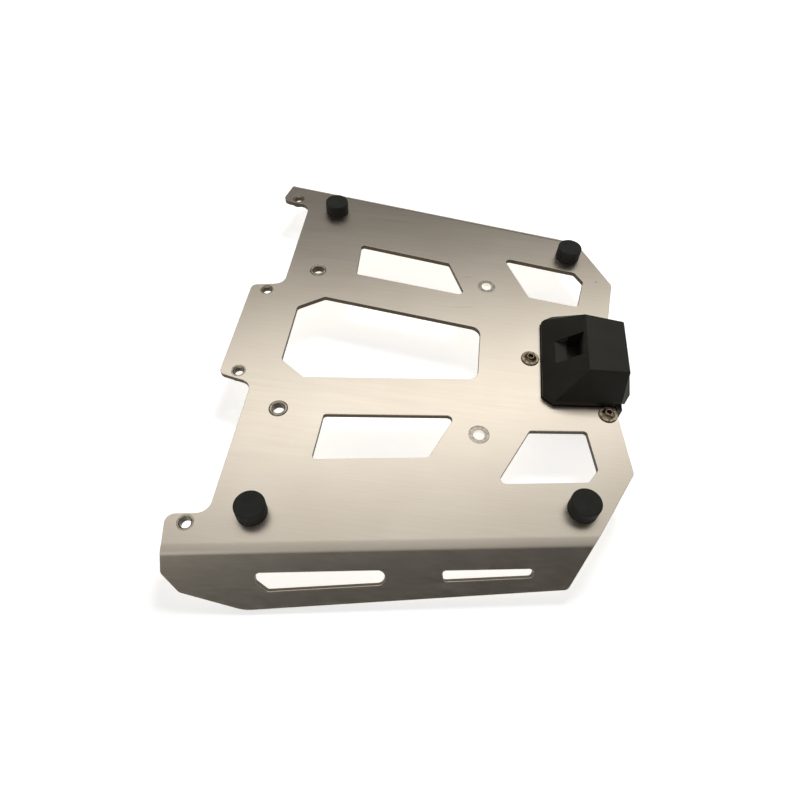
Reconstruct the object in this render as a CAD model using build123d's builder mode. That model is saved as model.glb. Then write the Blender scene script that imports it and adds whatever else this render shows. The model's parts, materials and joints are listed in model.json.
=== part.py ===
from build123d import *
import os
from math import atan2, cos, degrees, radians, sin, tan

# A top case bracket for a motorbike: a bent and cut aluminium plate with two side flanges, four
# rubber buffers for the case to sit on, and a moulded latch block that the case's lock catches.
#
# Millimetres. +X points to the back of the motorbike, +Y to its right and +Z up. The part stands
# on the lower edges of its flanges, with the origin at the middle of its box, on the ground.
# Sketches on the plate use its own datum: x and half widths are measured from there, and heights
# from the top of the plate. Angles are in degrees.

# Sheet and bends
sheet = 4.0
bend_radius = 10.0        # outside of the bend
bend_angle = 45.0
toe_in = 8.7              # the bend lines close in towards the back
bend_line_half = 158.6    # from the middle of the plate to a bend line, at the datum

# Plan of the plate
body_front = -108.8
tongue_front = -134.2
tongue_half = 46.5        # at its front edge
tongue_flare = 12.0
tongue_corner = 5.0
root_fillet = 9.0         # where the tongue and the ears grow out of the body
ear_tip = -135.0          # at its inner corner
ear_width = 20.0          # from its inner edge to the bend line
ear_lean = 12.6           # of its front edge, from square across
ear_corner = 6.0
rear_middle = 148.7       # where the two rear edges would meet
rear_sweep = 8.5
rear_cut_apex = 211.5     # where the two slanted rear cuts would meet
rear_cut_angle = 28.5
rear_corner = 5.0

# Flanges, with drops measured down the slope from the end of the bend
flange_lean = 5.5         # of the front edge of the bend and the flange, from square across
flange_depth = 32.9       # down to the lower edge, at the datum
flange_taper = 2.44
flange_nose_drop = 10.7   # straight part of the front edge
flange_nose_cut = 51.0
flange_ramp_drop = 23.6   # where the nose cut turns into the ramp
flange_ramp_angle = 18.2
flange_ramp_blend = 25.0
flange_corner = 4.0

# Slots in each flange
front_slot_start = -76.2
front_slot_end = 3.0
front_slot_top = 12.1
front_slot_height = 9.5   # at its rear end
front_slot_taper = 2.1
front_slot_cut_drop = 17.8
front_slot_cut_angle = 41.0
front_slot_nose = 3.0
rear_slot_start = 38.6
rear_slot_end = 95.5
rear_slot_top = 13.2
rear_slot_height = 5.8    # at its rear end
rear_slot_taper = 1.5
rear_slot_lean = 7.0
rear_slot_nose = 2.0
slot_end_share = 0.46     # radius of a round slot end, as a share of its height

# Windows in the plate
inner_toe_in = 7.15       # the edges nearer the middle close in by less than the bend lines
window_corner = 2.5
middle_front = -92.2
middle_front_half = 27.5
middle_chamfer_end = -72.5
middle_half = 32.4        # at the datum
middle_rear = 54.5
middle_front_corner = 4.0
middle_rear_corner = 8.0
side_front = -51.6        # at its inner corner
side_front_lean = 1.9
side_inner_half = 65.3    # at the datum
side_outer_half = 100.5   # at the datum
side_rear = 40.5          # at its inner corner
side_rear_slant = 23.5
side_rear_corner = 3.6
corner_front = 92.8       # at its inner corner
corner_front_slant = 26.2
corner_front_corner = 3.5
corner_inner_half = 77.3  # at the datum
corner_outer_half = 121.4 # at the datum
corner_rear = 132.3       # at its inner corner
corner_rear_slant = 11.1
corner_rear_half = 91.0   # where its rear edge turns into the chamfer
corner_chamfer = 32.7

# Holes in the plate and what is pressed into them
insert_x = -120.75
ear_insert_inset = 6.4    # across, from the ear's inner edge
tongue_insert_half = 42.5
insert_shank = 10.4
insert_bore = 6.8         # tapping size of an M8 thread
insert_mouth = 8.8        # of the thread's lead-in
insert_sink = 0.2
insert_head = 12.4
insert_head_height = 1.0
bush_x = -84.1
bush_half = 71.5
bush_shank = 13.3
bush_bore = 8.4
bush_rim = 0.7            # height of its rounded rim
bush_head = 17.0
bush_head_height = 1.5
rear_hole_x = 57.6
rear_hole_half = 73.7
rear_hole = 8.2
spot_face = 14.2
spot_face_depth = 0.3

# Buffers
buffer_front_x = -82.0
buffer_front_inset = 20.0 # across, from the bend line
buffer_rear_x = 126.3
buffer_rear_inset = 17.9
buffer_diameter = 20.0
buffer_height = 10.5
buffer_edge = 1.0
disc_diameter = 17.0
disc_height = 1.2

# M6 fasteners
thread = 6.0
thread_play = 0.3         # all round, in a through hole
thread_chamfer = 0.6
hex_sides = 6
hex_half_angle = 180 / hex_sides
hex_flats = 10.0
hex_chamfer_angle = 30.0
flange_nut_height = 6.0
nut_collar = 13.2
nut_collar_height = 1.2
plain_nut_height = 5.0
stud_end = 2.0            # of the stud, below its nut
screw_collar = 13.6
screw_collar_height = 1.0
screw_collar_edge = 0.4
screw_head = 9.4
screw_head_top = 5.2      # flat middle of the domed head
screw_head_height = 3.3
screw_head_bulge = 0.4
socket_flats = 4.0
socket_depth = 2.1

# Latch block
block_play = 0.4          # between the block and the notch in the plate
block_front = 101.5
block_front_half = 36.0
block_shoulder = 109.6
block_shoulder_half = 41.5
block_toe_in = 6.2
block_overhang = 9.8      # past the middle of the plate's rear edge
band_height = 5.0
slope_foot = 102.8
ridge_x = 129.6
ridge_half = 26.7
ridge_height = 26.5
top_fall = 2.4
block_edge = 1.5
block_wall = 3.0
block_flange = 8.0        # thickness under the plate
flange_margin = 5.0
lug_radius = 8.0
foot_half = 40.2
foot_height = 1.5
back_rib_half = 24.0
back_rib_depth = 7.5
back_rib_top = 22.0
block_screw_front = 93.2
block_screw_inset = 6.8   # of the side screws, from the plate's rear edge
block_screw_gap = 6.9     # of the side screws, from the block's side
nut_pocket_play = 0.15

# Catch recess in the block
catch_half = 10.5
catch_mouth = 109.8       # where its lead-in floor starts on the slope
catch_lead_end = 118.5
catch_lead_flare = 5.0    # of the lead-in's side walls, from upright
catch_floor = 7.0
catch_back = 127.8
catch_wall = 4.5


right_angle = 90.0


def edge_line(point, heading):
    """A straight line through a point, with a heading from +X."""
    return Vector(point), Vector(cos(radians(heading)), sin(radians(heading)))


def beside(line, distance):
    """The same line moved to its left."""
    start, along = line
    return start + Vector(-along.Y, along.X) * distance, along


def meet(first, second):
    """The point where two lines cross."""
    (start, along), (other, across) = first, second
    return start + along * ((other - start).cross(across).Z / along.cross(across).Z)


def half_at(line, x):
    """How far from the middle of the plate a line runs at x."""
    return meet(line, edge_line((x, 0), right_angle)).Y


def rounded(corners):
    """A closed outline, from corner points that each have a radius."""
    points = [point for point, radius in corners]
    FilletPolyline(points, radius=[radius for point, radius in corners], close=True)


# Lines of the plate's plan, right half
middle_line = edge_line((0, 0), 0)
bend_line = edge_line((0, bend_line_half), -toe_in)
tongue_edge = edge_line((tongue_front, 0), right_angle)
tongue_side = edge_line((tongue_front, tongue_half), tongue_flare)
body_edge = edge_line((body_front, 0), right_angle)
ear_inner = edge_line((0, bend_line_half - ear_width), -toe_in)
ear_point = meet(ear_inner, edge_line((ear_tip, 0), right_angle))
ear_edge = edge_line(ear_point, right_angle - ear_lean)
flange_edge = edge_line(meet(ear_edge, bend_line), right_angle - flange_lean)
rear_cut = edge_line((rear_cut_apex, 0), right_angle + rear_cut_angle)
rear_edge = edge_line((rear_middle, 0), right_angle - rear_sweep)

plate_outline = [
    (meet(middle_line, tongue_edge), 0),
    (meet(tongue_edge, tongue_side), tongue_corner),
    (meet(tongue_side, body_edge), root_fillet),
    (meet(body_edge, ear_inner), root_fillet),
    (ear_point, ear_corner),
    (flange_edge[0], 0),
    (meet(bend_line, rear_cut), 0),
    (meet(rear_cut, rear_edge), rear_corner),
    (meet(rear_edge, middle_line), 0),
]

# Pieces that keep their distance from the plate's edges
ear_insert_half = half_at(ear_inner, insert_x) + ear_insert_inset
buffer_front_half = half_at(bend_line, buffer_front_x) - buffer_front_inset
buffer_rear_half = half_at(bend_line, buffer_rear_x) - buffer_rear_inset

# Windows, right half
middle_edge = edge_line((0, middle_half), -inner_toe_in)
middle_window = [
    (Vector(middle_front, 0), 0),
    (Vector(middle_front, middle_front_half), middle_front_corner),
    (meet(middle_edge, edge_line((middle_chamfer_end, 0), right_angle)), middle_front_corner),
    (meet(middle_edge, edge_line((middle_rear, 0), right_angle)), middle_rear_corner),
    (Vector(middle_rear, 0), 0),
]

side_inner = edge_line((0, side_inner_half), -inner_toe_in)
side_outer = edge_line((0, side_outer_half), -toe_in)
side_front_point = meet(side_inner, edge_line((side_front, 0), right_angle))
side_rear_point = meet(side_inner, edge_line((side_rear, 0), right_angle))
side_window = [
    (side_front_point, window_corner),
    (side_rear_point, side_rear_corner),
    (meet(edge_line(side_rear_point, right_angle + side_rear_slant), side_outer), window_corner),
    (meet(edge_line(side_front_point, right_angle + side_front_lean), side_outer), window_corner),
]

corner_inner = edge_line((0, corner_inner_half), -inner_toe_in)
corner_outer = edge_line((0, corner_outer_half), -toe_in)
corner_front_point = meet(corner_inner, edge_line((corner_front, 0), right_angle))
corner_rear_point = meet(corner_inner, edge_line((corner_rear, 0), right_angle))
corner_rear_edge = edge_line(corner_rear_point, right_angle - corner_rear_slant)
chamfer_point = meet(corner_rear_edge, edge_line((0, corner_rear_half), 0))
corner_window = [
    (corner_front_point, window_corner),
    (corner_rear_point, window_corner),
    (chamfer_point, window_corner),
    (meet(edge_line(chamfer_point, right_angle + corner_chamfer), corner_outer), window_corner),
    (meet(edge_line(corner_front_point, right_angle + corner_front_slant), corner_outer),
     corner_front_corner),
]

# Latch block's plan, right half; the lines run so that their left is outside
block_rear = rear_middle + block_overhang
back_rib_rear = block_rear + back_rib_depth
block_lines = [
    edge_line((block_front, 0), right_angle),
    edge_line((block_front, block_front_half),
              degrees(atan2(block_shoulder_half - block_front_half, block_shoulder - block_front))),
    edge_line((block_shoulder, block_shoulder_half), -block_toe_in),
    edge_line((block_rear, 0), -right_angle),
]


def block_outline(growth, behind):
    """The block's plan grown at its front and side, and by another amount behind."""
    lines = [middle_line] + [beside(line, growth) for line in block_lines[:3]]
    lines.append(beside(block_lines[3], behind))
    return [(meet(line, lines[index - 1]), 0) for index, line in enumerate(lines)]


notch = block_outline(block_play, block_play)
side_screw = meet(beside(rear_edge, block_screw_inset), beside(block_lines[2], block_screw_gap))
block_screws = [(block_screw_front, 0), (side_screw.X, side_screw.Y)]

# Flange outline in the flange's own plane: x along the bend line, y down the slope
bend_out = bend_radius * sin(radians(bend_angle))
bend_drop = bend_radius * (1 - cos(radians(bend_angle)))
along_bend = bend_line[1]
out_of_bend = Vector(-along_bend.Y, along_bend.X)
bend_end = beside(bend_line, bend_out)


def vertical_cut(line):
    """The line in the flange's plane that a vertical cut along a line of the plan makes."""
    start = (meet(line, bend_end) - bend_end[0]).dot(along_bend)
    down_slope = line[1].dot(out_of_bend) / cos(radians(bend_angle))
    return edge_line((start, 0), degrees(atan2(down_slope, line[1].dot(along_bend))))


top_of_flange = edge_line((0, 0), 0)
lower_edge = edge_line((0, flange_depth), -flange_taper)
nose_point = meet(vertical_cut(flange_edge), edge_line((0, flange_nose_drop), 0))
ramp_point = meet(edge_line(nose_point, flange_nose_cut), edge_line((0, flange_ramp_drop), 0))
ramp = edge_line(ramp_point, flange_ramp_angle)

flange_outline = [
    (meet(top_of_flange, vertical_cut(flange_edge)), 0),
    (nose_point, flange_corner),
    (ramp_point, flange_corner),
    (meet(ramp, lower_edge), flange_ramp_blend),
    (meet(lower_edge, vertical_cut(rear_cut)), flange_corner),
    (meet(vertical_cut(rear_cut), top_of_flange), 0),
]

front_slot_upper = edge_line((0, front_slot_top), 0)
front_slot_lower = edge_line((front_slot_end, front_slot_top + front_slot_height),
                             -front_slot_taper)
front_slot_cut = edge_line((front_slot_start, front_slot_cut_drop), front_slot_cut_angle)
front_slot = [
    (Vector(front_slot_start, front_slot_top), front_slot_nose),
    (Vector(front_slot_start, front_slot_cut_drop), front_slot_nose),
    (meet(front_slot_cut, front_slot_lower), front_slot_nose),
    (Vector(front_slot_end, front_slot_top + front_slot_height),
     slot_end_share * front_slot_height),
    (Vector(front_slot_end, front_slot_top), slot_end_share * front_slot_height),
]

rear_slot_lower = edge_line((rear_slot_end, rear_slot_top + rear_slot_height), -rear_slot_taper)
rear_slot_edge = edge_line((rear_slot_start, rear_slot_top), right_angle - rear_slot_lean)
rear_slot = [
    (Vector(rear_slot_start, rear_slot_top), rear_slot_nose),
    (meet(rear_slot_edge, rear_slot_lower), rear_slot_nose),
    (Vector(rear_slot_end, rear_slot_top + rear_slot_height), slot_end_share * rear_slot_height),
    (Vector(rear_slot_end, rear_slot_top), slot_end_share * rear_slot_height),
]

# The plate stands on its flanges' inner lower edges, lowest where the ramp blends into them
blend_centre = meet(beside(ramp, -flange_ramp_blend), beside(lower_edge, -flange_ramp_blend))
lowest_drop = blend_centre.Y + flange_ramp_blend
plate_height = (bend_drop + lowest_drop * sin(radians(bend_angle))
                + sheet * cos(radians(bend_angle)))

deck = Plane(origin=(-(tongue_front + back_rib_rear) / 2, 0, plate_height))
underside = deck.offset(-sheet)


def on_deck(x, y, height=0.0):
    """A level plane at a place on the plate."""
    return Plane(origin=deck.from_local_coords(Vector(x, y, height)))


def upright(x, y):
    """A plane that stands at a place on the plate, its x to the back and its y up."""
    return Plane(origin=on_deck(x, y).origin, x_dir=(1, 0, 0), z_dir=(0, -1, 0))


def report(piece):
    """Prints a finished piece's size and whether it is sound."""
    size = piece.part.bounding_box().size
    print(f"{piece.part.label}: {len(piece.part.solids())} solid, valid {piece.part.is_valid},"
          f" {size.X:.2f} x {size.Y:.2f} x {size.Z:.2f} mm")


os.makedirs("parts", exist_ok=True)

# Rack plate: the bend is the skin of a round-edged core that starts out longer than the plate, is
# trimmed as the sheet is, and is thickened
bend_start = deck.from_local_coords(Vector(0, bend_line_half, 0))
bend_section = Plane(origin=bend_start, x_dir=out_of_bend, z_dir=along_bend)
flange_origin = deck.from_local_coords(bend_end[0] - Vector(0, 0, bend_drop))
flange_plane = Plane(
    origin=flange_origin,
    x_dir=along_bend,
    z_dir=out_of_bend * sin(radians(bend_angle)) + Vector(0, 0, cos(radians(bend_angle))),
)

with BuildPart() as bend_core:
    with BuildSketch(bend_section):
        with BuildLine():
            inner_leg = Line((0, -bend_radius), (0, 0))
            arc = CenterArc((0, -bend_radius), bend_radius, right_angle, -bend_angle)
            Line(arc @ 1, inner_leg @ 0)
        make_face()
    extrude(amount=rear_cut_apex, both=True)
    for (start, along), waste_side in ((flange_edge, 1), (rear_cut, -1)):
        across = Vector(-along.Y, along.X)
        split(bisect_by=Plane(origin=deck.from_local_coords(start), z_dir=across * waste_side),
              keep=Keep.BOTTOM)

with BuildPart() as rack_plate:
    with BuildSketch(deck):
        with BuildLine():
            rounded(plate_outline)
        make_face()
        for window in (middle_window, side_window, corner_window, notch):
            with BuildLine():
                rounded(window)
            make_face(mode=Mode.SUBTRACT)
        with Locations((insert_x, ear_insert_half), (insert_x, tongue_insert_half)):
            Circle(insert_shank / 2, mode=Mode.SUBTRACT)
        with Locations((bush_x, bush_half)):
            Circle(bush_shank / 2, mode=Mode.SUBTRACT)
        with Locations((buffer_front_x, buffer_front_half), (buffer_rear_x, buffer_rear_half),
                       *block_screws):
            Circle(thread / 2 + thread_play, mode=Mode.SUBTRACT)
    extrude(amount=-sheet)
    with Locations(on_deck(rear_hole_x, rear_hole_half)):
        CounterBoreHole(rear_hole / 2, spot_face / 2, spot_face_depth)
    thicken(bend_core.faces().filter_by(GeomType.CYLINDER)[0], amount=-sheet)
    with BuildSketch(flange_plane):
        with BuildLine():
            rounded(flange_outline)
        make_face()
        for slot in (front_slot, rear_slot):
            with BuildLine():
                rounded(slot)
            make_face(mode=Mode.SUBTRACT)
    extrude(amount=-sheet)
    mirror(about=Plane.XZ)
rack_plate.part.label = "rack_plate"
export_step(rack_plate.part, "parts/rack_plate.step")
report(rack_plate)

# Latch block: its hollow is its own form again, one wall smaller all round
front_foot = meet(block_lines[1], edge_line((slope_foot, 0), right_angle)) + Vector(0, 0, band_height)
side_foot = Vector(block_shoulder, block_shoulder_half, band_height)
ridge_end = Vector(ridge_x, ridge_half, ridge_height)
slope = (ridge_height - band_height) / (ridge_x - slope_foot)
block_foot = underside.offset(-block_flange)


def face_plane(first, second, third):
    """The plane through three points of the plate's datum."""
    origin, toward, beyond = (deck.from_local_coords(point) for point in (first, second, third))
    return Plane(origin=origin, x_dir=toward - origin, z_dir=(toward - origin).cross(beyond - origin))


block_faces = [
    face_plane(front_foot, Vector(slope_foot, 0, band_height), ridge_end),
    face_plane(side_foot, front_foot, ridge_end),
    face_plane(side_foot + block_lines[2][1], side_foot, ridge_end),
    Plane(origin=deck.from_local_coords(ridge_end),
          z_dir=(sin(radians(top_fall)), 0, cos(radians(top_fall)))),
]

with BuildPart() as block_form:
    with BuildSketch(block_foot):
        with BuildLine():
            rounded(block_outline(0, 0))
        make_face()
    extrude(amount=block_flange + sheet + ridge_height)
    for plane in block_faces:
        split(bisect_by=plane, keep=Keep.BOTTOM)
    outer_edges = block_form.edges().filter_by(lambda edge: edge.center().Y > block_edge)
    fillet(outer_edges.filter_by(lambda edge: edge.center().Z > block_foot.origin.Z + block_edge),
           block_edge)

with BuildPart() as block_hollow:
    with BuildSketch(block_foot):
        with BuildLine():
            rounded(block_outline(-block_wall, -block_wall))
        make_face()
    extrude(amount=block_flange + sheet + ridge_height)
    for plane in block_faces:
        split(bisect_by=plane.offset(-block_wall), keep=Keep.BOTTOM)
    with BuildSketch(upright(0, 0)):
        with BuildLine():
            Polyline((catch_mouth - catch_wall, catch_floor - catch_wall),
                     (catch_back + catch_wall, catch_floor - catch_wall),
                     (catch_back + catch_wall, ridge_height),
                     (catch_mouth - catch_wall, ridge_height), close=True)
        make_face()
    extrude(amount=catch_half + catch_wall, both=True, mode=Mode.SUBTRACT)

lead_height = band_height + slope * (catch_mouth - slope_foot)
lead_spread = (ridge_height - lead_height) * tan(radians(catch_lead_flare))

with BuildPart() as latch_block:
    add(block_form.part)
    with BuildSketch(underside):
        with BuildLine():
            rounded(block_outline(flange_margin, 0))
        make_face()
        with Locations(*block_screws):
            Circle(lug_radius)
        with BuildLine():
            Polyline(meet(rear_edge, edge_line((0, foot_half), 0)),
                     meet(rear_edge, edge_line((0, side_screw.Y + 2 * lug_radius), 0)),
                     (back_rib_rear, side_screw.Y + 2 * lug_radius),
                     (back_rib_rear, foot_half), close=True)
        make_face(mode=Mode.SUBTRACT)
    extrude(amount=-block_flange)
    with BuildSketch(block_foot):
        with BuildLine():
            Polyline(meet(beside(rear_edge, -block_play), edge_line((0, foot_half), 0)),
                     (block_rear, foot_half),
                     (block_rear, back_rib_half),
                     meet(beside(rear_edge, -block_play), edge_line((0, back_rib_half), 0)),
                     close=True)
        make_face()
    extrude(amount=block_flange + sheet + foot_height)
    with BuildSketch(upright(0, 0)):
        with BuildLine():
            Polyline((block_rear - block_wall, -sheet - block_flange),
                     (back_rib_rear, -sheet - block_flange),
                     (back_rib_rear, 0),
                     (block_rear, back_rib_top),
                     (block_rear - block_wall, back_rib_top), close=True)
        make_face()
    extrude(amount=-back_rib_half)
    add(block_hollow.part, mode=Mode.SUBTRACT)
    with BuildSketch(upright(0, 0)):
        with BuildLine():
            Polyline((catch_lead_end, catch_floor), (catch_back, catch_floor),
                     (catch_back, ridge_height), (catch_lead_end, ridge_height), close=True)
        make_face()
    extrude(amount=catch_half, both=True, mode=Mode.SUBTRACT)
    with BuildSketch(Plane(origin=on_deck(catch_mouth, 0).origin, x_dir=(0, 1, 0), z_dir=(1, 0, 0))):
        with BuildLine():
            Polyline((-catch_half, lead_height), (catch_half, lead_height),
                     (catch_half + lead_spread, ridge_height),
                     (-catch_half - lead_spread, ridge_height), close=True)
        make_face()
    extrude(amount=catch_lead_end - catch_mouth, mode=Mode.SUBTRACT)
    with BuildSketch(block_foot):
        with Locations(*block_screws):
            Circle(thread / 2 + thread_play)
    extrude(amount=block_flange, mode=Mode.SUBTRACT)
    with BuildSketch(block_foot):
        with Locations(*block_screws):
            RegularPolygon(hex_flats / 2 + nut_pocket_play, hex_sides, major_radius=False,
                           rotation=hex_half_angle)
    extrude(amount=plain_nut_height, mode=Mode.SUBTRACT)
    mirror(about=Plane.XZ)
latch_block.part.label = "latch_block"
export_step(latch_block.part, "parts/latch_block.step")
report(latch_block)


def make_screw(name, x, y):
    """An M6 flanged button-head screw that ends flush with the latch block's flange."""
    with BuildPart() as screw:
        with BuildSketch(upright(x, y)):
            with BuildLine():
                shank = Polyline((0, screw_head_height), (0, -sheet - block_flange),
                                 (thread / 2 - thread_chamfer, -sheet - block_flange),
                                 (thread / 2, -sheet - block_flange + thread_chamfer),
                                 (thread / 2, 0), (screw_collar / 2, 0),
                                 (screw_collar / 2, screw_collar_height - screw_collar_edge),
                                 (screw_collar / 2 - screw_collar_edge, screw_collar_height),
                                 (screw_head / 2, screw_collar_height))
                dome = SagittaArc(shank @ 1, (screw_head_top / 2, screw_head_height),
                                  screw_head_bulge)
                Line(dome @ 1, shank @ 0)
            make_face()
        revolve(axis=Axis(on_deck(x, y).origin, (0, 0, 1)))
        with BuildSketch(on_deck(x, y, screw_head_height)):
            RegularPolygon(socket_flats / 2, hex_sides, major_radius=False)
        extrude(amount=-socket_depth, mode=Mode.SUBTRACT)
    screw.part.label = name
    export_step(screw.part, f"parts/{name}.step")
    report(screw)


def make_nut(name, x, y, bearing, height, collar_radius, collar_height):
    """An M6 hexagon nut hanging below a bearing face, with a round collar where it has one."""
    corner = hex_flats / 2 / cos(radians(hex_half_angle))
    bevel = (corner - hex_flats / 2) * tan(radians(hex_chamfer_angle))
    with BuildPart() as nut:
        with BuildSketch(on_deck(x, y, bearing)):
            RegularPolygon(hex_flats / 2, hex_sides, major_radius=False,
                           rotation=hex_half_angle)
        extrude(amount=-height)
        with BuildSketch(upright(x, y)):
            with BuildLine():
                Polyline((0, bearing), (hex_flats / 2, bearing), (corner, bearing - bevel),
                         (corner, bearing - height + bevel), (hex_flats / 2, bearing - height),
                         (0, bearing - height), close=True)
            make_face()
        revolve(axis=Axis(on_deck(x, y).origin, (0, 0, 1)), mode=Mode.INTERSECT)
        if collar_radius:
            with BuildSketch(on_deck(x, y, bearing)):
                Circle(collar_radius)
            extrude(amount=-collar_height)
        with BuildSketch(on_deck(x, y, bearing)):
            Circle(thread / 2)
        extrude(amount=-height, mode=Mode.SUBTRACT)
    nut.part.label = name
    export_step(nut.part, f"parts/{name}.step")
    report(nut)


def make_buffer(name, x, y):
    """A rubber buffer with a seat for its bonded steel disc."""
    with BuildPart() as buffer:
        with BuildSketch(on_deck(x, y)):
            Circle(buffer_diameter / 2)
        extrude(amount=buffer_height)
        fillet(buffer.edges().sort_by(Axis.Z)[-1], buffer_edge)
        with BuildSketch(on_deck(x, y)):
            Circle(disc_diameter / 2)
        extrude(amount=disc_height, mode=Mode.SUBTRACT)
    buffer.part.label = name
    export_step(buffer.part, f"parts/{name}.step")
    report(buffer)


def make_stud(name, x, y):
    """The steel disc and M6 stud that are bonded into a buffer."""
    with BuildPart() as stud:
        with BuildSketch(on_deck(x, y)):
            Circle(thread / 2)
        extrude(amount=-(sheet + flange_nut_height + stud_end))
        chamfer(stud.edges().sort_by(Axis.Z)[0], thread_chamfer)
        with BuildSketch(on_deck(x, y)):
            Circle(disc_diameter / 2)
        extrude(amount=disc_height)
    stud.part.label = name
    export_step(stud.part, f"parts/{name}.step")
    report(stud)


def make_insert(name, x, y):
    """A threaded insert pressed into the sheet from below, its face just under the top."""
    mouth_depth = (insert_mouth - insert_bore) / 2
    with BuildPart() as insert:
        with BuildSketch(upright(x, y)):
            with BuildLine():
                Polyline((insert_mouth / 2, -insert_sink), (insert_shank / 2, -insert_sink),
                         (insert_shank / 2, -sheet), (insert_head / 2, -sheet),
                         (insert_head / 2, -sheet - insert_head_height),
                         (insert_bore / 2, -sheet - insert_head_height),
                         (insert_bore / 2, -insert_sink - mouth_depth), close=True)
            make_face()
        revolve(axis=Axis(on_deck(x, y).origin, (0, 0, 1)))
    insert.part.label = name
    export_step(insert.part, f"parts/{name}.step")
    report(insert)


def make_bush(name, x, y):
    """A plain bush pressed into the sheet from below, with a rounded rim above the top."""
    with BuildPart() as bush:
        with BuildSketch(upright(x, y)):
            with BuildLine():
                body = Polyline((bush_shank / 2, 0), (bush_shank / 2, -sheet), (bush_head / 2, -sheet),
                                (bush_head / 2, -sheet - bush_head_height),
                                (bush_bore / 2, -sheet - bush_head_height), (bush_bore / 2, 0))
                ThreePointArc(body @ 1, ((bush_shank + bush_bore) / 4, bush_rim), body @ 0)
            make_face()
        revolve(axis=Axis(on_deck(x, y).origin, (0, 0, 1)))
    bush.part.label = name
    export_step(bush.part, f"parts/{name}.step")
    report(bush)


block_nut_seat = -sheet - block_flange + plain_nut_height
make_screw("block_screw_front", block_screw_front, 0)
make_nut("block_nut_front", block_screw_front, 0, block_nut_seat, plain_nut_height, 0, 0)

for side, sign in (("left", -1), ("right", 1)):
    half = sign * side_screw.Y
    make_screw(f"block_screw_{side}", side_screw.X, half)
    make_nut(f"block_nut_{side}", side_screw.X, half, block_nut_seat, plain_nut_height, 0, 0)
    for end, x, half in (("front", buffer_front_x, buffer_front_half),
                         ("rear", buffer_rear_x, buffer_rear_half)):
        make_buffer(f"buffer_{end}_{side}", x, sign * half)
        make_stud(f"buffer_stud_{end}_{side}", x, sign * half)
        make_nut(f"buffer_nut_{end}_{side}", x, sign * half, -sheet, flange_nut_height,
                 nut_collar / 2, nut_collar_height)
    for place, half in (("ear", ear_insert_half), ("tongue", tongue_insert_half)):
        make_insert(f"{place}_insert_{side}", insert_x, sign * half)
    make_bush(f"front_bush_{side}", bush_x, sign * bush_half)
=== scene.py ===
import bpy
import json
from math import atan2, hypot, pi, radians
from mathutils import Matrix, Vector


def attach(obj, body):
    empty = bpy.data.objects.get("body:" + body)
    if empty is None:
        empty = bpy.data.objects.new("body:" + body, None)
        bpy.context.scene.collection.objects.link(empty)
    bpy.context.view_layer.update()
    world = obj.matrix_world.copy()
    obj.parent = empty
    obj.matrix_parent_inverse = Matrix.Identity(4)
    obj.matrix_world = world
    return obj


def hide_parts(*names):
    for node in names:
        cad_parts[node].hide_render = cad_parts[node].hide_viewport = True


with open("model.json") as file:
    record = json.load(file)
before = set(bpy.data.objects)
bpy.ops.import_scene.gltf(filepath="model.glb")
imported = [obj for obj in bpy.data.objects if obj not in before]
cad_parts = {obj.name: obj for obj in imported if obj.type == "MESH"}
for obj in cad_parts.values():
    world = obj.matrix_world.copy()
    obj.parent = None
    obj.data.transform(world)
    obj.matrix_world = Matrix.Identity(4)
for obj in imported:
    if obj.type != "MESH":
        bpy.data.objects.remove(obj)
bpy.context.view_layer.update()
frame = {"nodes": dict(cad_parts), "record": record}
bpy.ops.object.select_all(action="DESELECT")
scene = bpy.context.scene
scene.view_settings.view_transform = "Standard"
mm = 0.001
print("frame loaded:", len(frame["nodes"]), "nodes")


# camera, where the photograph was taken from
view = {
    "place": (2.87, -305.34, 385.12),    # mm
    "looking": (-0.0432, 0.5813, -0.8126),
    "roll": 3.14,                        # degrees
    "lens": 27.35,
    "sensor": 36.0,
}
bpy.ops.object.camera_add(location=[value * mm for value in view["place"]])
camera = bpy.context.object
camera.rotation_euler = Vector(view["looking"]).to_track_quat("-Z", "Y").to_euler()
camera.rotation_euler.rotate_axis("Z", radians(view["roll"]))
camera.data.lens = view["lens"]
camera.data.sensor_width = view["sensor"]
camera.data.clip_start = 0.01
scene.camera = camera
print("camera set")


def colourOf(code):
    channels = [int(code[at:at + 2], 16) / 255 for at in (1, 3, 5)]
    linear = [c / 12.92 if c <= 0.04045 else ((c + 0.055) / 1.055) ** 2.4 for c in channels]
    return (*linear, 1.0)


def addNode(tree, kind, values=None, links=None, **settings):
    node = tree.nodes.new(kind)
    for name, setting in settings.items():
        setattr(node, name, setting)
    for socket, value in (values or {}).items():
        node.inputs[socket].default_value = value
    for socket, source in (links or {}).items():
        tree.links.new(source, node.inputs[socket])
    return node


def newMaterial(name):
    material = bpy.data.materials.new(name)
    material.use_nodes = True
    tree = material.node_tree
    tree.nodes.clear()
    return material, tree


def setRamp(node, stops):
    ramp = node.color_ramp
    while len(ramp.elements) < len(stops):
        ramp.elements.new(0.5)
    for element, (at, colour) in zip(ramp.elements, stops):
        element.position = at
        element.color = colour


def objectPlace(tree):
    return addNode(tree, "ShaderNodeTexCoord").outputs["Object"]


def millimetres(tree, size=(1, 1, 1)):
    # object coordinates, scaled so that one unit is the given size in mm
    scale = [1 / (mm * side) for side in size]
    mapped = addNode(tree, "ShaderNodeMapping", {"Scale": scale}, {"Vector": objectPlace(tree)})
    return mapped.outputs["Vector"]


def noiseOf(tree, size, detail):
    # noise whose patches have the given size, in mm: one number, or one for each axis
    sides = size if isinstance(size, (list, tuple)) else (size,) * 3
    return addNode(tree, "ShaderNodeTexNoise", {"Scale": 1.0, "Detail": detail},
                   {"Vector": millimetres(tree, sides)})


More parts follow.
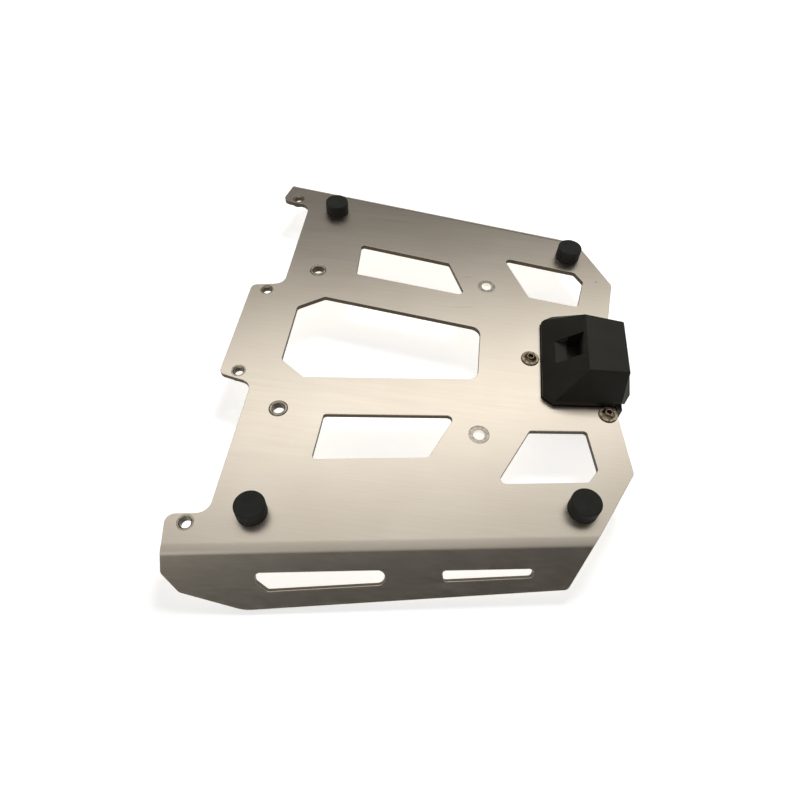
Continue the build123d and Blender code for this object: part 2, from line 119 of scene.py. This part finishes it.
def mathOf(tree, operation, *parts, **settings):
    # a math node over sockets and numbers, in their order
    values = {at: part for at, part in enumerate(parts) if isinstance(part, (int, float))}
    links = {at: part for at, part in enumerate(parts) if at not in values}
    return addNode(tree, "ShaderNodeMath", values, links, operation=operation, **settings).outputs[0]


def mixOf(tree, factor, low, high):
    # one colour where the factor is 0 and another where it is 1
    values = {at: part for at, part in ((6, low), (7, high)) if isinstance(part, tuple)}
    links = {at: part for at, part in ((0, factor), (6, low), (7, high)) if at not in values}
    return addNode(tree, "ShaderNodeMix", values, links, data_type="RGBA").outputs[2]


def partsOf(tree, vector):
    return addNode(tree, "ShaderNodeSeparateXYZ", {}, {"Vector": vector}).outputs


def viewedRays(tree):
    # 1 for rays that come from the camera or off a mirror or through glass
    rays = addNode(tree, "ShaderNodeLightPath").outputs
    seen = mathOf(tree, "ADD", rays["Is Camera Ray"], rays["Is Glossy Ray"])
    return mathOf(tree, "ADD", seen, rays["Is Transmission Ray"], use_clamp=True)


# rolled aluminium sheet, brushed along the motorbike: fine streaks and a highlight drawn out across
# them; its laser-cut edges carry a painted shade for the dim room they reflect, and the spot faces are
# turned bright and scuffed
aluminium = {
    "dull": "#E3D7C5",
    "bright": "#ECE1D0",
    # painted shade for the cut edges, standing in for the dim room they reflect
    "shadedCutEdge": "#4C4438",
    "scuffed": ("#A2998C", "#DCD4C7"),
    # painted highlight: the rear bores, near white in place of their shaded walls
    "bore": "#F2EADD",
    "streak": (60.0, 1.1, 1.1),     # mm, drawn coarser than real brushing so that it shows
    "fineStreak": (25.0, 0.35, 0.35),
    "cloud": 45.0,
    "roughness": (0.28, 0.34),
    "cutRoughness": 0.45,
    "scuffedRoughness": 0.36,
    "anisotropy": 0.55,
    "grooveDepth": 0.0012,          # mm
    "grooveStrength": 0.3,
    "toneSpan": (1.1, 1.9),         # of the three noises' sum, from the dull tone to the bright one
    "bendSlope": 0.3,               # slope times lean above which a face is the bend or a flange
    "plateSlope": 0.8,              # share of a face's normal that points up or down on the plate
    "marksColour": "#7A7064",
    # marks on the plate, mm: where they start and end, and half their width
    "marks": [((133.5, 92.7), (133.6, 92.7), 1.2), ((19.0, 81.2), (29.9, 82.9), 0.3),
              ((10.7, 44.7), (35.6, 48.5), 0.25)],
    # spot faces, mm: place on both sides, and radius
    "spotFace": (41.7, 73.7, 7.15),
    "ringsPerMm": 3.0,
    "scuffsPerMm": 0.5,
}


def markOn(tree, spot, start, end, half):
    # 1 on a straight mark between two places on the plate, falling to 0 over its width
    length = max(hypot(end[0] - start[0], end[1] - start[1]), 0.01)
    heading = atan2(end[1] - start[1], end[0] - start[0])
    middle = ((start[0] + end[0]) / 2, (start[1] + end[1]) / 2, 0)
    centred = addNode(tree, "ShaderNodeVectorMath", {1: middle}, {0: spot}, operation="SUBTRACT")
    aligned = addNode(tree, "ShaderNodeVectorRotate", {"Angle": -heading}, {"Vector": centred.outputs[0]},
                      rotation_type="Z_AXIS")
    squeezed = addNode(tree, "ShaderNodeVectorMath", {1: (1 / (length / 2 + half), 1 / half, 0)},
                       {0: aligned.outputs[0]}, operation="MULTIPLY")
    away = addNode(tree, "ShaderNodeVectorMath", {}, {0: squeezed.outputs[0]}, operation="LENGTH")
    return addNode(tree, "ShaderNodeMapRange", {"From Min": 1.0, "From Max": 0.5},
                   {"Value": away.outputs["Value"]}, interpolation_type="SMOOTHSTEP").outputs["Result"]


def brushedAluminium():
    material, tree = newMaterial("brushedAluminium")
    streaks = noiseOf(tree, aluminium["streak"], 3.0).outputs["Fac"]
    fine = noiseOf(tree, aluminium["fineStreak"], 2.0).outputs["Fac"]
    clouds = noiseOf(tree, aluminium["cloud"], 2.0).outputs["Fac"]
    mixed = mathOf(tree, "ADD", streaks, fine)
    low, high = aluminium["toneSpan"]
    tone = addNode(tree, "ShaderNodeMapRange", {"From Min": low, "From Max": high},
                   {"Value": mathOf(tree, "ADD", mixed, clouds)})
    ramp = addNode(tree, "ShaderNodeValToRGB", {}, {"Fac": tone.outputs["Result"]})
    setRamp(ramp, [(0.0, colourOf(aluminium["dull"])), (1.0, colourOf(aluminium["bright"]))])

    # cut edges, neither flat on the plate nor sloping the way of the bends, get a painted shade
    surface = addNode(tree, "ShaderNodeNewGeometry")
    facing = partsOf(tree, surface.outputs["True Normal"])
    side = mathOf(tree, "SIGN", partsOf(tree, objectPlace(tree))["Y"])
    outward = mathOf(tree, "MULTIPLY", facing["Y"], side)
    sloping = mathOf(tree, "MULTIPLY", outward, facing["Z"])
    onBend = mathOf(tree, "GREATER_THAN", sloping, aluminium["bendSlope"])
    onPlate = mathOf(tree, "GREATER_THAN", mathOf(tree, "ABSOLUTE", facing["Z"]), aluminium["plateSlope"])
    sheetFace = mathOf(tree, "MAXIMUM", onBend, onPlate)
    edgesShaded = mixOf(tree, sheetFace, colourOf(aluminium["shadedCutEdge"]), ramp.outputs["Color"])

    # a small dark ding near the far rear corner and two faint scratches
    onSheet = millimetres(tree)
    marks = [markOn(tree, onSheet, *mark) for mark in aluminium["marks"]]
    marked = marks[0]
    for mark in marks[1:]:
        marked = mathOf(tree, "MAXIMUM", marked, mark)
    broken = mathOf(tree, "MULTIPLY", marked, fine)
    worn = mixOf(tree, broken, edgesShaded, colourOf(aluminium["marksColour"]))

    # turned and scuffed rings of the two rear holes; their bores are painted near white, a painted
    # highlight in place of shaded walls
    x, y, radius = aluminium["spotFace"]
    parts = partsOf(tree, onSheet)
    level = addNode(tree, "ShaderNodeCombineXYZ", {},
                    {"X": parts["X"], "Y": mathOf(tree, "ABSOLUTE", parts["Y"])})
    away = addNode(tree, "ShaderNodeVectorMath", {1: (x, y, 0)}, {0: level.outputs[0]},
                   operation="DISTANCE").outputs["Value"]
    inRing = mathOf(tree, "LESS_THAN", away, radius)
    rings = addNode(tree, "ShaderNodeTexNoise", {"Scale": aluminium["ringsPerMm"], "Detail": 2.0},
                    {"W": away}, noise_dimensions="1D")
    scuffs = addNode(tree, "ShaderNodeTexNoise", {"Scale": aluminium["scuffsPerMm"], "Detail": 3.0},
                     {"Vector": onSheet})
    wear = mathOf(tree, "MULTIPLY", rings.outputs["Fac"], scuffs.outputs["Fac"])
    scuffed = addNode(tree, "ShaderNodeValToRGB", {}, {"Fac": wear})
    dark, light = aluminium["scuffed"]
    setRamp(scuffed, [(0.15, colourOf(dark)), (0.4, colourOf(light))])
    ringed = mixOf(tree, onPlate, colourOf(aluminium["bore"]), scuffed.outputs["Color"])
    coloured = mixOf(tree, inRing, worn, ringed)

    low, high = aluminium["roughness"]
    polish = addNode(tree, "ShaderNodeMapRange", {"From Min": 0.3, "From Max": 0.7, "To Min": low,
                     "To Max": high}, {"Value": streaks})
    cut = addNode(tree, "ShaderNodeMix", {2: aluminium["cutRoughness"]},
                  {0: sheetFace, 3: polish.outputs["Result"]})
    rough = addNode(tree, "ShaderNodeMix", {3: aluminium["scuffedRoughness"]},
                    {0: inRing, 2: cut.outputs[0]})
    grooves = addNode(tree, "ShaderNodeBump", {"Strength": aluminium["grooveStrength"],
                      "Distance": aluminium["grooveDepth"] * mm}, {"Height": mixed})
    along = addNode(tree, "ShaderNodeCombineXYZ", {"X": 1.0})
    shader = addNode(tree, "ShaderNodeBsdfPrincipled",
                     {"Metallic": 1.0, "Anisotropic": aluminium["anisotropy"]},
                     {"Base Color": coloured, "Roughness": rough.outputs[0],
                      "Normal": grooves.outputs["Normal"], "Tangent": along.outputs["Vector"]})
    addNode(tree, "ShaderNodeOutputMaterial", {}, {"Surface": shader.outputs["BSDF"]})
    return material


# glass-filled nylon, injection moulded in a spark-eroded tool: near black, a fine matt grain
nylon = {
    "dark": "#13130F",
    "light": "#1A1A16",
    "shine": "#FFF8EA",
    "grain": 0.45,                  # mm, and so are the next two
    "grainDepth": 0.03,
    "patch": 12.0,                  # of the darker and lighter tone
    "roughness": (0.44, 0.56),
    "ior": 1.53,
    "specular": 0.4,
}


def mouldedNylon():
    material, tree = newMaterial("mouldedNylon")
    grain = noiseOf(tree, nylon["grain"], 3.0).outputs["Fac"]
    tone = noiseOf(tree, nylon["patch"], 2.0).outputs["Fac"]
    ramp = addNode(tree, "ShaderNodeValToRGB", {}, {"Fac": tone})
    setRamp(ramp, [(0.35, colourOf(nylon["dark"])), (0.65, colourOf(nylon["light"]))])
    bump = addNode(tree, "ShaderNodeBump", {"Strength": 0.3, "Distance": nylon["grainDepth"] * mm},
                   {"Height": grain})
    low, high = nylon["roughness"]
    rough = addNode(tree, "ShaderNodeMapRange", {"To Min": low, "To Max": high}, {"Value": grain})
    shader = addNode(tree, "ShaderNodeBsdfPrincipled", {"IOR": nylon["ior"],
                     "Specular IOR Level": nylon["specular"], "Specular Tint": colourOf(nylon["shine"])},
                     {"Base Color": ramp.outputs["Color"], "Roughness": rough.outputs["Result"],
                      "Normal": bump.outputs["Normal"]})
    addNode(tree, "ShaderNodeOutputMaterial", {}, {"Surface": shader.outputs["BSDF"]})
    return material


# natural rubber, compression moulded: a matt, slightly dusty black
rubber = {
    "dark": "#161611",
    "dusty": "#1F1E18",
    "grain": 0.6,                   # mm, and so are the next two
    "grainDepth": 0.04,
    "dustPatch": 5.0,
    "roughness": 0.72,
    "ior": 1.52,
}


def mouldedRubber():
    material, tree = newMaterial("mouldedRubber")
    grain = noiseOf(tree, rubber["grain"], 4.0).outputs["Fac"]
    dust = noiseOf(tree, rubber["dustPatch"], 3.0).outputs["Fac"]
    ramp = addNode(tree, "ShaderNodeValToRGB", {}, {"Fac": dust})
    setRamp(ramp, [(0.35, colourOf(rubber["dark"])), (0.7, colourOf(rubber["dusty"]))])
    bump = addNode(tree, "ShaderNodeBump", {"Strength": 0.4, "Distance": rubber["grainDepth"] * mm},
                   {"Height": grain})
    shader = addNode(tree, "ShaderNodeBsdfPrincipled",
                     {"Roughness": rubber["roughness"], "IOR": rubber["ior"]},
                     {"Base Color": ramp.outputs["Color"], "Normal": bump.outputs["Normal"]})
    addNode(tree, "ShaderNodeOutputMaterial", {}, {"Surface": shader.outputs["BSDF"]})
    return material


# stainless steel screws tarnished by weather, clean turned inserts and bushes, and zinc-plated nuts
turned = {
    # each finish's bore colour is a painted shade for its bores and upright sides
    "screw_steel": {"name": "tarnishedStainlessSteel", "dark": "#6C5D47", "light": "#AE9F87",
                    "bore": "#3E352A", "roughness": 0.28, "grain": 1.6},
    "insert_steel": {"name": "turnedStainlessSteel", "dark": "#A59A86", "light": "#C6BCA9",
                     "bore": "#443C30", "roughness": 0.28, "grain": 1.5},
    "zinc_steel": {"name": "zincPlatedSteel", "dark": "#A5A6A4", "light": "#C9CAC8",
                   "bore": "#A5A6A4", "roughness": 0.3, "grain": 1.5},
    "speckDepth": 0.02,             # mm, as the grains
    "grainFlatness": 0.3,           # height of a speck, as a share of its width
}


def turnedMetal(finish):
    # turned or rolled steel, with the faint specks of its making and handling; its bores and upright
    # sides are painted darker as shade
    material, tree = newMaterial(finish["name"])
    grain = finish["grain"]
    specks = noiseOf(tree, (grain, grain, grain * turned["grainFlatness"]), 3.0).outputs["Fac"]
    ramp = addNode(tree, "ShaderNodeValToRGB", {}, {"Fac": specks})
    setRamp(ramp, [(0.4, colourOf(finish["dark"])), (0.6, colourOf(finish["light"]))])
    # upright faces and bores take the bore colour: painted shade
    surface = addNode(tree, "ShaderNodeNewGeometry")
    level = mathOf(tree, "ABSOLUTE", partsOf(tree, surface.outputs["True Normal"])["Z"])
    face = addNode(tree, "ShaderNodeMapRange", {"From Min": 0.1, "From Max": 0.5}, {"Value": level})
    shadedSides = mixOf(tree, face.outputs["Result"], colourOf(finish["bore"]), ramp.outputs["Color"])
    bump = addNode(tree, "ShaderNodeBump", {"Strength": 0.25, "Distance": turned["speckDepth"] * mm},
                   {"Height": specks})
    low, high = finish["roughness"] - 0.05, finish["roughness"] + 0.08
    rough = addNode(tree, "ShaderNodeMapRange", {"To Min": low, "To Max": high}, {"Value": specks})
    shader = addNode(tree, "ShaderNodeBsdfPrincipled", {"Metallic": 1.0},
                     {"Base Color": shadedSides, "Roughness": rough.outputs["Result"],
                      "Normal": bump.outputs["Normal"]})
    addNode(tree, "ShaderNodeOutputMaterial", {}, {"Surface": shader.outputs["BSDF"]})
    return material


finishes = {
    "plate_aluminium": brushedAluminium(),
    "block_plastic": mouldedNylon(),
    "rubber": mouldedRubber(),
}
for slot in ("screw_steel", "insert_steel", "zinc_steel"):
    finishes[slot] = turnedMetal(turned[slot])
for part in frame["record"]["subparts"]:
    mesh = frame["nodes"][part["node"]].data
    mesh.materials.clear()
    mesh.materials.append(finishes[part["material_slot"]])
print("materials made:", len(finishes))


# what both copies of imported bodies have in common
merging = {"distance": 0.002, "flatAngle": 0.3}     # mm, and degrees between faces that are one


def mergedCopy(node, name):
    # the node's own form with its faces joined where they meet
    copy = bpy.data.objects.new(name, frame["nodes"][node].data.copy())
    scene.collection.objects.link(copy)
    bpy.ops.object.select_all(action="DESELECT")
    copy.select_set(True)
    bpy.context.view_layer.objects.active = copy
    bpy.ops.object.mode_set(mode="EDIT")
    bpy.ops.mesh.select_all(action="SELECT")
    bpy.ops.mesh.remove_doubles(threshold=merging["distance"] * mm)
    bpy.ops.mesh.dissolve_limited(angle_limit=radians(merging["flatAngle"]))
    bpy.ops.object.mode_set(mode="OBJECT")
    return copy


def finishCopy(copy, node, keepSharp):
    # large faces shade flat, and the copy stands in for the node
    flat = copy.modifiers.new("flat", "WEIGHTED_NORMAL")
    flat.weight = 100
    flat.keep_sharp = keepSharp
    bpy.ops.object.modifier_apply(modifier="flat")
    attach(copy, "root")
    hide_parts(node)


# the plate's cut edges, broken by deburring
plateEdge = {"width": 0.3, "steps": 2, "angle": 35.0}   # mm, and degrees above which an edge is broken
rackPlate = mergedCopy("rack_plate", "rackPlate")
bpy.ops.object.shade_smooth()
bevel = rackPlate.modifiers.new("edges", "BEVEL")
bevel.width = plateEdge["width"] * mm
bevel.segments = plateEdge["steps"]
bevel.limit_method = "ANGLE"
bevel.angle_limit = radians(plateEdge["angle"])
bevel.use_clamp_overlap = False
bpy.ops.object.modifier_apply(modifier="edges")
finishCopy(rackPlate, "rack_plate", False)
print("rack plate edges broken")


# the block's moulded radii, which shade as curves between its flat faces
blockShading = {"angle": 35.0}      # degrees above which an edge stays sharp
latchBlock = mergedCopy("latch_block", "latchBlock")
bpy.ops.object.shade_smooth_by_angle(angle=radians(blockShading["angle"]))
finishCopy(latchBlock, "latch_block", True)
print("latch block smoothed")


# studio: a pale floor, a soft overhead lamp and a tent that only reflections see, because the metal
# mirrors a bright ceiling behind it and a dim room in front of it
studio = {
    "floor": 6.0,                   # m
    "floorColour": "#D8D8D6",
    "floorGlow": (0.7, 1.0),        # near the bracket and far from it
    "floorReach": (0.5, 1.5),       # m from its middle where that change starts and ends
    "fill": 0.22,
    "lamp": {"place": (0.15, 0.85, 1.2), "size": 0.6, "watts": 14.0},
    "tentRadius": 1.6,              # m, as the next two
    "tentLength": 4.0,
    "tentFoot": -0.002,             # height of its lower edge
    "tentReach": (0.75, 1.2),       # m to each side, where the tent's light starts and stops to fade
    "sideLevel": 0.35,              # share of the tent's light that is left there
    "tentTilt": 7.0,                # degrees a metre that the bright band falls to the right
    # degrees up from the far horizon, over the top to the near one, and how bright the tent is there
    "tent": [(0, 0.3), (16, 0.2), (28, 0.1), (36, 0.135), (40, 0.31), (44, 0.63), (48, 1.0),
             (52, 1.38), (56, 1.62), (60, 1.5), (64, 1.04), (68, 0.72), (76, 0.64), (92, 0.58),
             (112, 0.52), (140, 0.44), (152, 0.28), (158, 0.115), (163, 0.024), (170, 0.01), (180, 0.05)],
    "leftGlow": 1.7,                # how much brighter the tent is at its front left
    "leftReach": (-0.2, -0.9),      # m, where that starts and where it is full
    "frontReach": (125, 150),       # degrees, the same
}

bpy.ops.object.select_all(action="DESELECT")
bpy.ops.mesh.primitive_plane_add(size=studio["floor"])
floor = bpy.context.object
floor.name = "floor"
floorMaterial, tree = newMaterial("paleFloor")
away = addNode(tree, "ShaderNodeVectorMath", {}, {0: objectPlace(tree)}, operation="LENGTH")
near, far = studio["floorReach"]
low, high = studio["floorGlow"]
level = addNode(tree, "ShaderNodeMapRange", {"From Min": near, "From Max": far, "To Min": low,
                "To Max": high}, {"Value": away.outputs["Value"]}, interpolation_type="SMOOTHSTEP")
glowing = mathOf(tree, "MULTIPLY", viewedRays(tree), level.outputs["Result"])
lit = addNode(tree, "ShaderNodeBsdfDiffuse", {"Color": colourOf(studio["floorColour"])})
glow = addNode(tree, "ShaderNodeEmission", {}, {"Strength": glowing})
both = addNode(tree, "ShaderNodeAddShader", {}, {0: lit.outputs[0], 1: glow.outputs[0]})
addNode(tree, "ShaderNodeOutputMaterial", {}, {"Surface": both.outputs[0]})
floor.data.materials.append(floorMaterial)

bpy.ops.mesh.primitive_cylinder_add(vertices=96, radius=studio["tentRadius"],
                                    depth=studio["tentLength"], rotation=(0, pi / 2, 0))
tent = bpy.context.object
tent.name = "tent"
bpy.ops.object.transform_apply(location=True, rotation=True, scale=True)
bpy.ops.object.mode_set(mode="EDIT")
bpy.ops.mesh.select_all(action="SELECT")
bpy.ops.mesh.bisect(plane_co=(0, 0, studio["tentFoot"]), plane_no=(0, 0, 1), clear_inner=True)
bpy.ops.object.mode_set(mode="OBJECT")
tentMaterial, tree = newMaterial("lightTent")
spot = partsOf(tree, objectPlace(tree))
turn = mathOf(tree, "ARCTAN2", spot["Z"], spot["Y"])
tilt = mathOf(tree, "MULTIPLY_ADD", spot["X"], radians(studio["tentTilt"]), turn)
ramp = addNode(tree, "ShaderNodeValToRGB", {}, {"Fac": mathOf(tree, "DIVIDE", tilt, pi)})
brightest = max(level for at, level in studio["tent"])
setRamp(ramp, [(at / 180, (level / brightest,) * 3 + (1.0,)) for at, level in studio["tent"]])
near, far = studio["tentReach"]
aside = mathOf(tree, "ABSOLUTE", spot["X"])
fade = addNode(tree, "ShaderNodeMapRange", {"From Min": near, "From Max": far, "To Min": brightest,
               "To Max": brightest * studio["sideLevel"]}, {"Value": aside},
               interpolation_type="SMOOTHSTEP").outputs["Result"]
near, far = studio["leftReach"]
leftward = addNode(tree, "ShaderNodeMapRange", {"From Min": near, "From Max": far},
                   {"Value": spot["X"]}, interpolation_type="SMOOTHSTEP").outputs["Result"]
near, far = studio["frontReach"]
forward = addNode(tree, "ShaderNodeMapRange", {"From Min": radians(near), "From Max": radians(far),
                  "To Max": studio["leftGlow"]}, {"Value": turn},
                  interpolation_type="SMOOTHSTEP").outputs["Result"]
strength = mathOf(tree, "MULTIPLY_ADD", fade, mathOf(tree, "MULTIPLY", leftward, forward), fade)
glow = addNode(tree, "ShaderNodeEmission", {}, {"Color": ramp.outputs["Color"], "Strength": strength})
addNode(tree, "ShaderNodeOutputMaterial", {}, {"Surface": glow.outputs[0]})
tent.data.materials.append(tentMaterial)
for ray in ("camera", "diffuse", "shadow", "transmission", "volume_scatter"):
    setattr(tent, "visible_" + ray, False)

bpy.ops.object.light_add(type="AREA", location=studio["lamp"]["place"])
lamp = bpy.context.object
lamp.data.shape = "DISK"
lamp.data.size = studio["lamp"]["size"]
lamp.data.energy = studio["lamp"]["watts"]
lamp.rotation_euler = (-lamp.location).to_track_quat("-Z", "Y").to_euler()
lamp.visible_glossy = False

world = bpy.data.worlds.new("studio")
scene.world = world
world.use_nodes = True
tree = world.node_tree
tree.nodes.clear()
strength = addNode(tree, "ShaderNodeMapRange", {"To Min": studio["fill"], "To Max": 1.0},
                   {"Value": viewedRays(tree)})
sky = addNode(tree, "ShaderNodeBackground", {"Color": (1, 1, 1, 1)},
              {"Strength": strength.outputs["Result"]})
addNode(tree, "ShaderNodeOutputWorld", {}, {"Surface": sky.outputs[0]})
print("studio set")
